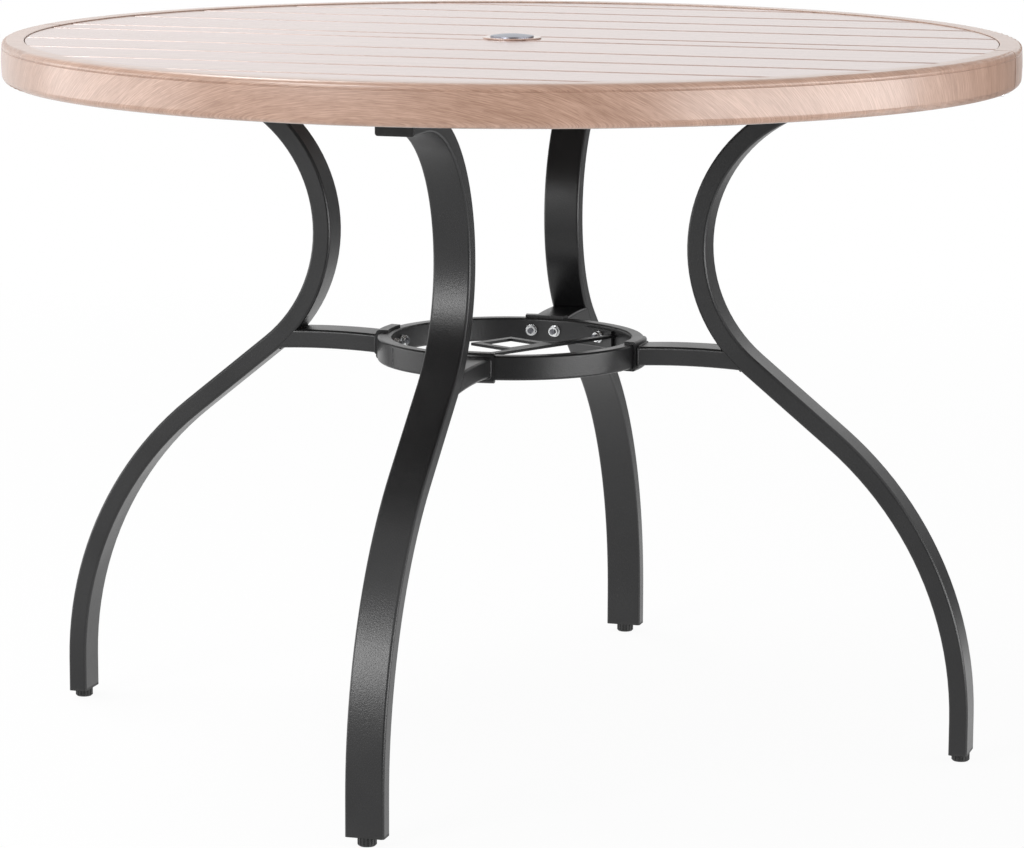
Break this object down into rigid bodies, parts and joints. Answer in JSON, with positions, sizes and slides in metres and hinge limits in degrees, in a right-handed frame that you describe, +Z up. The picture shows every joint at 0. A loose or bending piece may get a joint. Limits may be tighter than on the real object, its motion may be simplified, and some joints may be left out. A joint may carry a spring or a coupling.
{
  "type": "round garden table",
  "caption": "Round slatted garden table with a wood-grain metal top, umbrella hole with cap and bent tube legs joined by a hub ring.",
  "frame": {"origin": "on the floor at the centre of the table, under the umbrella hole", "axes": "+Z up; +X along the slats towards the right leg; +Y towards the back leg"},
  "size_m": [1.067, 1.0668, 0.7486],
  "materials": {
    "wood_print": "satin wood-grain transfer on sheet metal",
    "frame_black": "satin charcoal powder coat",
    "black_plastic": "moulded matt",
    "zinc": "bright zinc plate",
    "ring_plastic": "moulded, tan to match the top",
    "cap_silver": "satin silver"
  },
  "bodies": {
    "table": {"arm_back": "frame_black", "arm_front": "frame_black", "arm_left": "frame_black", "arm_right": "frame_black", "foot_plug_back": "black_plastic", "foot_plug_front": "black_plastic", "foot_plug_left": "black_plastic", "foot_plug_right": "black_plastic", "guide_studs": "zinc", "hub_nuts": "zinc", "hub_ring": "frame_black", "hub_studs": "zinc", "hub_washers": "zinc", "leg_back": "frame_black", "leg_bolts": "zinc", "leg_front": "frame_black", "leg_left": "frame_black", "leg_right": "frame_black", "leg_washers": "zinc", "pole_guide_bar": "frame_black", "pole_guide_loop": "frame_black", "rail_back": "frame_black", "rail_front": "frame_black", "rail_left": "frame_black", "rail_nuts": "zinc", "rail_right": "frame_black", "rim_back_half": "wood_print", "rim_front_half": "wood_print", "rim_joiner_left": "black_plastic", "rim_joiner_right": "black_plastic", "rim_joiner_screws": "zinc", "saddle_back": "frame_black", "saddle_front": "frame_black", "saddle_left": "frame_black", "saddle_right": "frame_black", "slat_01": "wood_print", "slat_02": "wood_print", "slat_03": "wood_print", "slat_04": "wood_print", "slat_05": "wood_print", "slat_06": "wood_print", "slat_07": "wood_print", "slat_08": "wood_print", "slat_09": "wood_print", "slat_10": "wood_print", "slat_11": "wood_print", "top_plug_back": "black_plastic", "top_plug_front": "black_plastic", "top_plug_left": "black_plastic", "top_plug_right": "black_plastic", "umbrella_lock_ring": "black_plastic", "umbrella_ring": "ring_plastic"},
    "foot_front": {"levelling_foot_front": "black_plastic"},
    "foot_right": {"levelling_foot_right": "black_plastic"},
    "foot_back": {"levelling_foot_back": "black_plastic"},
    "foot_left": {"levelling_foot_left": "black_plastic"},
    "cap": {"umbrella_cap": "cap_silver"}
  },
  "joints": [
    {"name": "cap_lift", "type": "slide", "parent": "table", "child": "cap", "axis": [0, 0, 1], "range_m": [0, 0.03]},
    {"name": "foot_front_turn", "type": "hinge", "parent": "table", "child": "foot_front", "pos_m": [0, -0.493, 0], "axis": [0, 0, 1], "range_deg": [0, 1800]},
    {"name": "foot_right_turn", "type": "hinge", "parent": "table", "child": "foot_right", "pos_m": [0.493, 0, 0], "axis": [0, 0, 1], "range_deg": [0, 1800]},
    {"name": "foot_back_turn", "type": "hinge", "parent": "table", "child": "foot_back", "pos_m": [0, 0.493, 0], "axis": [0, 0, 1], "range_deg": [0, 1800]},
    {"name": "foot_left_turn", "type": "hinge", "parent": "table", "child": "foot_left", "pos_m": [-0.493, 0, 0], "axis": [0, 0, 1], "range_deg": [0, 1800]}
  ]
}
